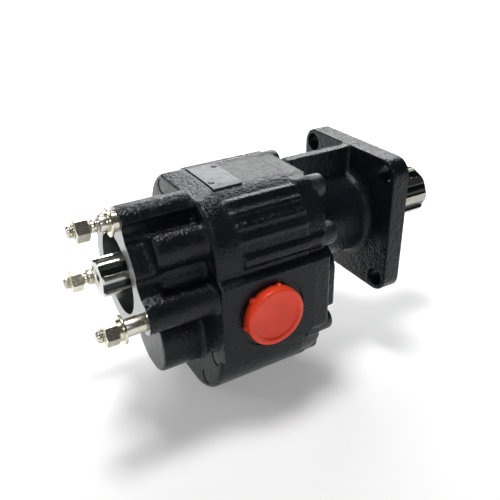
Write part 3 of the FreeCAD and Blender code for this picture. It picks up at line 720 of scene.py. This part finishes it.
def plugBody():
    plugs = bodyPlugs
    stock = castingShape["stock"]
    seamStock = castingShape["seamStock"]
    seamEnd = seamX + seamStock
    bm = nodeMesh("pump_body")
    addStock(bm, [(0, rearX, -stock), (0, seamX, seamStock), (1, padY, stock), (1, -padY, -stock)])
    rodMesh(rearX - stock, chamberX + plugs["run"], plugs["pilotR"], bm=bm)
    drivenStart = rearX - stock + plugs["drivenStart"]
    rodMesh(drivenStart, chamberX + plugs["run"], plugs["drivenR"], 0, drivenZ, bm=bm)
    for z in (0, drivenZ):
        rodMesh(chamberX - plugs["chamberRun"], seamEnd, plugs["chamberR"], 0, z, plugs["segments"], bm)
    half = plugs["chamberHalf"]
    boxMesh((chamberX, -half, drivenZ), (seamEnd, half, 0), bm)
    sealRing(seamX - plugs["grooveDepth"], seamEnd, plugs["grooveInner"], plugs["grooveOuter"], bm)
    for box in screwBoxes:
        rodAt(box, shoulderX + plugs["screwGap"], seamEnd, plugs["screwR"], 32, bm)
    for box in dowelBoxes:
        rodAt(box, seamX - plugs["dowelDepth"], seamEnd, plugs["pinR"], 32, bm)
    for box in studBoxes:
        rodAt(box, rearX - stock, rearX + plugs["studDepth"], plugs["pinR"], 32, bm)
    for box in rivetBoxes:
        place = Matrix.Translation(middle(box)) @ Matrix.Rotation(math.pi / 2, 4, "Y")
        rodMesh(plugs["rivetStart"], plugs["rivetEnd"], plugs["rivetR"], segments=24, bm=bm, place=place)
    spotR = bodyCuts["spotR"] + plugs["spotEdge"]
    rodMesh(-padY - stock, padY + stock, spotR, bm=bm, place=portPlace(1))
    return bm


def portBore(side):
    sizes = bodyCuts
    floor = padY - sizes["spotDepth"]
    end = padY - sizes["portDepth"]
    profile = [(padY + reach, 0), (padY + reach, sizes["spotR"]), (floor, sizes["spotR"]),
               (floor, sizes["portR"] + sizes["portEdge"]), (floor - sizes["portEdge"], sizes["portR"]),
               (end, sizes["portR"]), (end, sizes["passageR"]),
               (sizes["passageInner"], sizes["passageR"]), (sizes["passageInner"], 0)]
    return lathe(profile, 128, place=portPlace(side))


def rivetHole(box):
    start = Vector((middle(box).x, middle(box).y, box[0].z))
    place = Matrix.Translation(start) @ Matrix.Rotation(-math.pi / 2, 4, "Y")
    return rodMesh(0, bodyCuts["rivetDepth"], bodyCuts["rivetR"], segments=24, place=place)


def buildBody():
    sizes = bodyCuts
    softBelow = shoulderX - bodyPlugs["softGap"]
    body = roughCasting(plugBody(), "bodyCasting", bodyPlugs["seed"], softBelow)
    print("body casting remeshed,", len(body.data.polygons), "faces")

    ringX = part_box("rear_snap_ring")[0].x
    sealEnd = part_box("rear_shaft_seal")[1].x
    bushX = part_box("rear_drive_bush")[0].x
    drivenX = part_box("rear_driven_bush")[0].x
    bushEnd = chamberX + sizes["bushRun"]
    rearBore = steppedBore(rearX - reach, [
        (sizes["pilotR"], rearX + sizes["pilotDepth"]), (sizes["sealR"], ringX),
        (sizes["ringR"], ringX + sizes["ringWidth"]), (sizes["sealR"], sealEnd),
        (sizes["shaftR"], bushX), (sizes["bushR"], bushEnd)])
    grooveInner = chamberR + sizes["grooveInner"]
    grooveOuter = chamberR + sizes["grooveOuter"]
    tools = [
        (slabMesh(0, rearX - 0.02, rearX), machinedIron),
        (slabMesh(0, seamX, seamX + 0.02), machinedIron),
        (slabMesh(1, -padY - 0.02, -padY), smoothPaint),
        (slabMesh(1, padY, padY + 0.02), smoothPaint),
        (lathe(rearBore, 128), boreIron),
        (rodMesh(drivenX, bushEnd, sizes["bushR"], 0, drivenZ), boreIron),
        (rodMesh(chamberX, seamX + reach, chamberR), boreIron),
        (rodMesh(chamberX, seamX + reach, chamberR, 0, drivenZ), boreIron),
        (sealRing(seamX - sizes["grooveDepth"], seamX + reach, grooveInner, grooveOuter), boreIron),
    ]
    tools += [(portBore(side), smoothPaint) for side in (-1, 1)]
    screwEnds = (shoulderX - 0.002, seamX + reach)
    dowelEnds = (seamX - sizes["dowelDepth"], seamX + reach)
    studEnds = (rearX - reach, rearX + sizes["studDepth"])
    tools += [(rodAt(box, *screwEnds, sizes["screwR"]), castPaint) for box in screwBoxes]
    tools += [(rodAt(box, *dowelEnds, sizes["dowelR"]), machinedIron) for box in dowelBoxes]
    tools += [(rodAt(box, *studEnds, sizes["studR"]), machinedIron) for box in studBoxes]
    tools += [(rivetHole(box), machinedIron) for box in rivetBoxes]
    body = cutAll(body, "bodyCasting", tools)
    smoothByAngle(body, castingShape["sharpAngle"])
    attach(body, "pump")
    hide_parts("pump_body")
    print("body casting machined,", len(body.data.polygons), "faces")


coverCuts = {
    "bushR": 0.0215, "shaftR": 0.0205, "sealR": 0.026, "ringR": 0.0272, "drivenR": 0.0185,
    "screwR": 0.0055, "headR": 0.0088, "headReach": 0.019, "holeR": 0.00675, "holeOut": 0.04,
    "flangeRearX": -0.0133, "faceR": 0.09, "faceDepth": 0.012, "dowelR": 0.004, "dowelDepth": 0.008,
    "pilotR": 0.040, "pilotInner": 0.036, "pilotEdge": 0.0008, "boreEdge": 0.001,
}

coverPlugs = {
    "faceStock": 0.002, "pilotStock": 0.0015, "pilotR": 0.041, "pilotStart": -0.004,
    "sealR": 0.0275, "sealStart": -0.035, "bushR": 0.0225, "bushEnd": -0.02, "drivenR": 0.0195,
    "drivenRun": 0.001, "holeR": 0.0076, "screwR": 0.0063, "screwGap": 0.0002, "dowelR": 0.0048,
    "dowelDepth": 0.010, "seed": 0.81,
}


def plugCover(pilotX, holes):
    plugs = coverPlugs
    seamStock = castingShape["seamStock"]
    seamEnd = seamX - seamStock
    pilotEnd = pilotX + plugs["pilotStock"]
    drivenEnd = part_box("front_driven_bush")[1].x + plugs["drivenRun"]
    bm = nodeMesh("front_cover")
    addStock(bm, [(0, seamX, -seamStock), (0, 0.0, plugs["faceStock"]), (0, pilotX, plugs["pilotStock"])])
    rodMesh(plugs["pilotStart"], pilotEnd, plugs["pilotR"], bm=bm)
    rodMesh(plugs["sealStart"], pilotEnd, plugs["sealR"], bm=bm)
    rodMesh(seamEnd, plugs["bushEnd"], plugs["bushR"], bm=bm)
    rodMesh(seamEnd, drivenEnd, plugs["drivenR"], 0, drivenZ, bm=bm)
    for y, z in holes:
        rodMesh(coverCuts["flangeRearX"], plugs["faceStock"], plugs["holeR"], y, z, 48, bm)
    for box in screwBoxes:
        rodAt(box, seamEnd, seatX - plugs["screwGap"], plugs["screwR"], 32, bm)
    for box in dowelBoxes:
        rodAt(box, seamEnd, seamX + plugs["dowelDepth"], plugs["dowelR"], 32, bm)
    return bm


def buildCover():
    sizes = coverCuts
    pilotX = coverBox[1].x
    out = sizes["holeOut"]
    holes = [(y, z) for y in (-out, out) for z in (-out, out)]
    cover = roughCasting(plugCover(pilotX, holes), "coverCasting", coverPlugs["seed"])
    print("cover casting remeshed,", len(cover.data.polygons), "faces")

    facing = [(0.0, sizes["pilotR"]), (0.0, sizes["faceR"]), (sizes["faceDepth"], sizes["faceR"]),
              (sizes["faceDepth"], sizes["pilotInner"]), (pilotX, sizes["pilotInner"]),
              (pilotX, sizes["pilotR"] - sizes["pilotEdge"]), (pilotX - sizes["pilotEdge"], sizes["pilotR"])]
    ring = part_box("front_snap_ring")
    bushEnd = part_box("front_drive_bush")[1].x
    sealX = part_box("front_shaft_seal")[0].x
    frontBore = steppedBore(seamX - reach, [
        (sizes["bushR"], bushEnd), (sizes["shaftR"], sealX), (sizes["sealR"], ring[0].x),
        (sizes["ringR"], ring[1].x), (sizes["sealR"], pilotX - sizes["boreEdge"])])
    mouthR = sizes["sealR"] + sizes["boreEdge"]
    frontBore[-1:] = [(pilotX, mouthR), (pilotX + reach, mouthR), (pilotX + reach, 0)]
    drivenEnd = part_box("front_driven_bush")[1].x
    tools = [
        (slabMesh(0, seamX - 0.02, seamX), machinedIron),
        (lathe(facing, 160, closed=True), machinedIron),
        (lathe(frontBore, 128), boreIron),
        (slabMesh(0, pilotX, pilotX + 0.01), machinedIron),
        (rodMesh(seamX - reach, drivenEnd, sizes["drivenR"], 0, drivenZ), boreIron),
    ]
    for box in screwBoxes:
        tools.append((rodAt(box, seamX - reach, seatX + 0.001, sizes["screwR"]), machinedIron))
        tools.append((rodAt(box, seatX, seatX + sizes["headReach"], sizes["headR"], 64), castPaint))
    for y, z in holes:
        tools.append((rodMesh(sizes["flangeRearX"] - reach, reach, sizes["holeR"], y, z, 64), smoothPaint))
    dowelEnds = (seamX - reach, seamX + sizes["dowelDepth"])
    tools += [(rodAt(box, *dowelEnds, sizes["dowelR"]), machinedIron) for box in dowelBoxes]
    cover = cutAll(cover, "coverCasting", tools)
    smoothByAngle(cover, castingShape["sharpAngle"])
    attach(cover, "pump")
    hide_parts("front_cover")
    print("cover casting machined,", len(cover.data.polygons), "faces")


buildBody()
buildCover()


# shaft and rear hardware

shaftShape = {"edge": 0.00035, "steps": 2, "bevelAngle": 40, "flatAngle": 0.5, "sharpAngle": 24}


def buildShaft():
    bm = nodeMesh("drive_shaft")
    flat = math.radians(shaftShape["flatAngle"])
    bmesh.ops.dissolve_limit(bm, angle_limit=flat, verts=bm.verts, edges=bm.edges)
    shaft = meshObject("splinedShaft", bm, splineSteel)
    bevel = shaft.modifiers.new("edges", "BEVEL")
    bevel.width = shaftShape["edge"]
    bevel.segments = shaftShape["steps"]
    bevel.limit_method = "ANGLE"
    bevel.angle_limit = math.radians(shaftShape["bevelAngle"])
    shaft = bake(shaft, "splinedShaft")
    smoothByAngle(shaft, shaftShape["sharpAngle"])
    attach(shaft, "shaft")
    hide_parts("drive_shaft")


studShape = {"radius": 0.0040, "core": 0.00335, "pitch": 0.00125, "tip": 0.0014, "inset": 0.00161,
             "endGap": 0.001, "segments": 40}
studThread = threadTree()


def buildStuds():
    groups = {}
    core, tip, inset = (studShape[key] for key in ("core", "tip", "inset"))
    for box in studBoxes:
        groups.setdefault(round(box[0].x, 5), []).append(box)
    for number, (tipX, boxes) in enumerate(sorted(groups.items())):
        length = boxes[0][1].x - tipX
        profile = [(0, 0), (0, core - tip * 0.7), (tip * 0.35, core - tip * 0.25), (tip, core),
                   (length, core), (length, 0)]
        rodCore = meshObject("studCore", tidyNormals(lathe(profile, studShape["segments"])))
        ridgeR = studShape["radius"] - studShape["pitch"] * 0.56
        values = {"Piece": rodCore, "Radius": ridgeR, "Pitch": studShape["pitch"], "Start": inset,
                  "Length": length - inset - studShape["endGap"], "Material": brightZinc}
        studs = runTree(studThread, pointCloud(onAxes(boxes, tipX)), values, "studs" + str(number))
        drop(rodCore)
        smoothByAngle(studs, 30)
        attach(studs, "pump")
    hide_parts("mounting_studs")


nutShape = {"across": 0.01295, "face": 0.0061, "bore": 0.0041, "lead": 0.0006, "chamfer": 28, "turn": 30,
            "segments": 96}


def hexRadius(across):
    # distance from the axis to a hexagon's side, by angle
    def radius(angle):
        turn = (angle + math.pi / 6) % (math.pi / 3) - math.pi / 6
        return across / 2 / math.cos(turn)
    return radius


def buildNuts():
    boxes = solidBoxes("stud_nuts")
    height = boxes[0][1].x - boxes[0][0].x
    outer = hexRadius(nutShape["across"])
    face, bore, lead = (nutShape[key] for key in ("face", "bore", "lead"))
    slope = math.tan(math.radians(nutShape["chamfer"]))

    def chamfer(angle):
        return (outer(angle) - face) * slope

    profile = [(lead, bore), (0, bore + lead), (0, face), (chamfer, outer),
               (lambda a: height - chamfer(a), outer), (height, face), (height, bore + lead),
               (height - lead, bore)]
    nut = meshObject("nutShape", tidyNormals(lathe(profile, nutShape["segments"], closed=True)))
    turns = [math.radians(nutShape["turn"])] * len(boxes)
    nuts = placeCopies(nut, onAxes(boxes), zinc, "studNuts", turns)
    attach(nuts, "pump")
    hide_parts("stud_nuts")


ringShape = {"inner": 0.0042, "segments": 72, "washerEdge": 0.0003, "spacerEdge": 0.0004}


def ringCopies(nodeName, material, edge, name):
    # bevelled rings on the studs, one shape for each length
    groups = {}
    for box in solidBoxes(nodeName):
        groups.setdefault(round(box[1].x - box[0].x, 5), []).append(box)
    inner = ringShape["inner"]
    chip = edge * 0.3
    for number, (length, boxes) in enumerate(sorted(groups.items())):
        outer = (boxes[0][1].z - boxes[0][0].z) / 2
        profile = [(edge, inner), (0, inner + edge), (0, outer - edge), (chip, outer - chip), (edge, outer),
                   (length - edge, outer), (length - chip, outer - chip), (length, outer - edge),
                   (length, inner + edge), (length - edge, inner)]
        ring = meshObject("ringShape", tidyNormals(lathe(profile, ringShape["segments"], closed=True)))
        piece = placeCopies(ring, onAxes(boxes), material, name + str(number))
        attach(piece, "pump")
    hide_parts(nodeName)


springShape = {"inner": 0.0042, "gap": math.radians(9), "rise": 0.00035, "edge": 0.0002, "steps": 64}


def buildSprings():
    # a square wire bent nearly round, with its ends a little apart
    boxes = solidBoxes("spring_washers")
    outer = max((box[1].y - box[0].y) / 2 for box in boxes)
    inner, edge, rise, gap, steps = (springShape[key] for key in ("inner", "edge", "rise", "gap", "steps"))
    wire = boxes[0][1].x - boxes[0][0].x - rise
    section = [(0, inner + edge), (0, outer - edge), (edge, outer), (wire - edge, outer),
               (wire, outer - edge), (wire, inner + edge), (wire - edge, inner), (edge, inner)]
    bm = bmesh.new()
    loops = []
    for step in range(steps + 1):
        share = step / steps
        angle = math.pi / 2 + gap / 2 + (2 * math.pi - gap) * share
        loops.append([bm.verts.new(ringPoint(x + rise * share, r, angle)) for x, r in section])
    bridge(bm, loops)
    bm.faces.new(loops[0])
    bm.faces.new(loops[-1])
    spring = meshObject("springShape", tidyNormals(bm))
    springs = placeCopies(spring, onAxes(boxes), zinc, "springWashers")
    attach(springs, "pump")
    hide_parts("spring_washers")


buildShaft()
buildStuds()
buildNuts()
ringCopies("flat_washers", zinc, ringShape["washerEdge"], "flatWashers")
ringCopies("stud_spacers", brightZinc, ringShape["spacerEdge"], "spacers")
buildSprings()
print("rear hardware made")


# cover screws

def buildScrews():
    length = seatX - screwBoxes[0][0].x
    socket = hexRadius(screwShape["socket"])
    headR, headH, edge, shankR, tipEdge, rim = (
        screwShape[key] for key in ("headR", "headH", "edge", "shankR", "tipEdge", "socketEdge"))
    floor = headH - screwShape["socketDepth"]

    def knurled(angle):
        return headR - screwShape["knurlDepth"] * (1 - abs(math.cos(screwShape["knurls"] * angle / 2)))

    profile = [(-length, 0), (-length, shankR - tipEdge), (-length + tipEdge, shankR), (0, shankR),
               (0, headR - 0.0004), (0.0004, knurled), (headH - edge * 1.5, knurled),
               (headH - edge, headR - edge * 0.25), (headH - edge * 0.25, headR - edge * 0.75),
               (headH, headR - edge * 1.5), (headH, lambda a: socket(a) + rim), (headH - rim, socket),
               (floor, socket), (floor - 0.0012, 0)]
    screw = meshObject("screwShape", tidyNormals(lathe(profile, screwShape["segments"])))
    places = onAxes(screwBoxes, seatX)
    first, step = screwShape["firstTurn"], screwShape["turnStep"]
    turns = [math.radians(first + step * i % 60) for i in range(len(places))]
    screws = placeCopies(screw, places, blackOxide, "coverScrews", turns)
    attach(screws, "pump")
    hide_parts("cover_screws")


buildScrews()


def quarterRound(steps):
    # sine and cosine of the angles after 0 in a quarter turn
    turns = [math.pi / 2 * step / steps for step in range(1, steps + 1)]
    return [(math.sin(turn), math.cos(turn)) for turn in turns]


# port caps

capShape = {"rimR": 0.020, "rimWidth": 0.0040, "dishDepth": 0.0012, "round": 0.0015, "stemR": 0.0151,
            "wall": 0.002, "lugs": 6, "lugR": 0.0022, "lugH": 0.0035, "firstLug": 15, "lugInset": 0.0010}


def capOutline(outer, inner, seat):
    # from the middle of the dished face round the rim and the stem to the middle of the inside
    rimR, rimWidth, dish, rounding, stemR, wall = (
        capShape[key] for key in ("rimR", "rimWidth", "dishDepth", "round", "stemR", "wall"))
    dishR = rimR - rimWidth
    floor = outer - dish
    profile = [(floor - 0.0002, 0), (floor - 0.0001, dishR * 0.5), (floor, dishR - 0.001),
               (outer - dish * 0.75, dishR - 0.0003), (outer - dish * 0.25, dishR + 0.0001),
               (outer - 0.0001, dishR + 0.0006), (outer, dishR + 0.0012), (outer, rimR - rounding)]
    for sine, cosine in quarterRound(6):
        profile.append((outer - rounding * (1 - cosine), rimR - rounding * (1 - sine)))
    profile += [(seat + 0.0006, rimR), (seat + 0.0001, rimR - 0.0004), (seat + 0.0001, stemR),
                (inner + 0.001, stemR), (inner, stemR - 0.0008), (inner, stemR - wall),
                (floor - wall, stemR - wall - 0.0003), (floor - wall, 0)]
    return profile


def addLugs(bm, place, seat):
    lugR, lugH, count = (capShape[key] for key in ("lugR", "lugH", "lugs"))
    outline = [(0, 0), (0, lugR), (lugH * 0.6, lugR * 0.95), (lugH, lugR * 0.55), (lugH, 0)]
    lug = meshObject("lugShape", tidyNormals(lathe(outline, 20)))
    angles = [math.radians(capShape["firstLug"] + 360 * i / count) for i in range(count)]
    places = [ringPoint(seat + 0.0002, capShape["rimR"] - capShape["lugInset"], angle) for angle in angles]
    lugs = placeCopies(lug, places, redCap, "lugs")
    lugs.data.transform(place)
    bm.from_mesh(lugs.data)
    drop(lugs)


def buildCap(nodeName, body, side):
    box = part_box(nodeName)
    outer = box[1].y if side > 0 else -box[0].y
    inner = box[0].y if side > 0 else -box[1].y
    seat = padY - bodyCuts["spotDepth"]
    place = portPlace(side)
    bm = lathe(capOutline(outer, inner, seat), 128, place=place)
    addLugs(bm, place, seat)
    cap = meshObject("cap" + ("Far" if side > 0 else "Near"), tidyNormals(bm), redCap)
    smoothByAngle(cap, 40)
    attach(cap, body)
    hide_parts(nodeName)


buildCap("near_port_cap", "near_cap", -1)
buildCap("far_port_cap", "far_cap", 1)


# rivets on the nameplate

rivetShape = {"headR": 0.0021, "headH": 0.0008, "shankR": 0.0012}


def buildRivets():
    headR, headH, shankR = (rivetShape[key] for key in ("headR", "headH", "shankR"))
    depth = rivetBoxes[0][1].z - rivetBoxes[0][0].z - headH
    profile = [(-depth, 0), (-depth, shankR), (0, shankR), (0, headR)]
    profile += [(headH * sine, headR * cosine) for sine, cosine in quarterRound(6)[:-1]] + [(headH, 0)]
    upright = Matrix.Rotation(-math.pi / 2, 4, "Y")
    rivet = meshObject("rivetShape", tidyNormals(lathe(profile, 32, place=upright)))
    places = [Vector((middle(box).x, middle(box).y, box[1].z - headH)) for box in rivetBoxes]
    rivets = placeCopies(rivet, places, tagMetal, "plateRivets")
    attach(rivets, "pump")
    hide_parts("nameplate_rivets")


buildRivets()


# materials of the nodes that stay

finishes = [
    (groundSteel, ["driven_gear", "front_snap_ring", "rear_snap_ring", "dowel_pins"]),
    (bronze, ["front_drive_bush", "rear_drive_bush", "front_driven_bush", "rear_driven_bush"]),
    (plateMetal, ["front_wear_plate", "rear_wear_plate"]),
    (rubber, ["front_plate_seal", "rear_plate_seal", "body_seal", "front_shaft_seal", "rear_shaft_seal"]),
    (tagMetal, ["nameplate"]),
]
for material, nodeNames in finishes:
    for nodeName in nodeNames:
        slots = nodes[nodeName].material_slots
        if not slots:
            nodes[nodeName].data.materials.append(material)
        for slot in slots:
            slot.material = material
print("node finishes set")


# floor, lights and camera

studio = {
    "floorHalf": 6.0,
    "floorColors": ((0.86, 0.86, 0.87), (0.88, 0.88, 0.88)),
    "glowNear": 0.22,  # how much the floor shines by the object and far from it
    "glowFar": 1.0,
    "glowReach": (0.30, 1.3),
    "worldStrength": 0.05,
    "lights": [
        {"name": "backLight", "place": (0.38, 0.72, 0.52), "size": (0.9, 0.40), "power": 9.0},
        {"name": "topLight", "place": (-0.15, 0.10, 1.05), "size": (0.28, 0.28), "power": 8.0},
        {"name": "sideLight", "place": (-0.95, 0.35, 0.40), "size": (0.3, 0.4), "power": 1.6},
        {"name": "frontLight", "place": (-0.60, -1.00, 0.75), "size": (0.15, 0.15), "power": 2.6},
    ],
    "target": (-0.09, 0.0, -0.03),
}


def buildFloor():
    lay = Matrix.Translation((0, 0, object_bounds()[0].z))
    near, second = studio["floorColors"]
    bm = bmesh.new()
    bmesh.ops.create_grid(bm, x_segments=8, y_segments=8, size=studio["floorHalf"], matrix=lay)
    material, tree, shader = newMaterial("paleFloor", near, 0.75, 0.0, 0.1)
    where = objectCoords(tree)
    color = rampOf(tree, noiseOf(tree, where, 2.0, 2.0), [(0.3, near), (0.7, second)])
    tree.links.new(color, shader.inputs["Base Color"])
    shader.inputs["Emission Color"].default_value = (1, 1, 1, 1)
    ends = {0: where, 1: studio["target"]}
    away = addNode(tree, "ShaderNodeVectorMath", ends, operation="DISTANCE").outputs["Value"]
    glow = rangeOf(tree, away, *studio["glowReach"], studio["glowNear"], studio["glowFar"])
    tree.links.new(glow, shader.inputs["Emission Strength"])
    floor = meshObject("floor", bm, material)


def buildWorld():
    # a white backdrop to look at, and a dim room for the light it gives
    world = bpy.data.worlds.new("studioWorld")
    world.use_nodes = True
    tree = world.node_tree
    seen = addNode(tree, "ShaderNodeLightPath").outputs["Is Camera Ray"]
    strength = rangeOf(tree, seen, 0, 1, studio["worldStrength"], 1.0)
    tree.nodes["Background"].inputs[0].default_value = (1, 1, 1, 1)
    tree.links.new(strength, tree.nodes["Background"].inputs[1])
    scene.world = world


def buildLights():
    for item in studio["lights"]:
        data = bpy.data.lights.new(item["name"], "AREA")
        data.shape = "RECTANGLE"
        data.size, data.size_y = item["size"]
        data.energy = item["power"]
        lamp = bpy.data.objects.new(item["name"], data)
        scene.collection.objects.link(lamp)
        lamp.location = item["place"]
        aim = Vector(studio["target"]) - Vector(item["place"])
        lamp.rotation_euler = aim.to_track_quat("-Z", "Y").to_euler()
        lamp.visible_camera = False


cameraView = {"azimuth": -29.65, "elevation": 28.95, "roll": -1.38, "place": (-0.27607, -0.31954, 0.19124),
              "lens": 43.206, "sensor": 36}


def buildCamera():
    azimuth, elevation, roll = (math.radians(cameraView[k]) for k in ("azimuth", "elevation", "roll"))
    level = math.cos(elevation)
    back = Vector((math.sin(azimuth) * level, -math.cos(azimuth) * level, math.sin(elevation)))
    right = Vector((math.cos(azimuth), math.sin(azimuth), 0))
    up = back.cross(right)
    rolledRight = right * math.cos(roll) + up * math.sin(roll)
    rolledUp = up * math.cos(roll) - right * math.sin(roll)
    data = bpy.data.cameras.new("camera")
    data.sensor_width = cameraView["sensor"]
    data.lens = cameraView["lens"]
    data.clip_start = 0.01
    data.clip_end = 50
    camera = bpy.data.objects.new("camera", data)
    scene.collection.objects.link(camera)
    place = Matrix((rolledRight, rolledUp, back)).transposed().to_4x4()
    place.translation = cameraView["place"]
    camera.matrix_world = place
    scene.camera = camera


buildFloor()
buildWorld()
buildLights()
buildCamera()
scene.view_settings.view_transform = "Standard"
print("stage, lights and camera set")
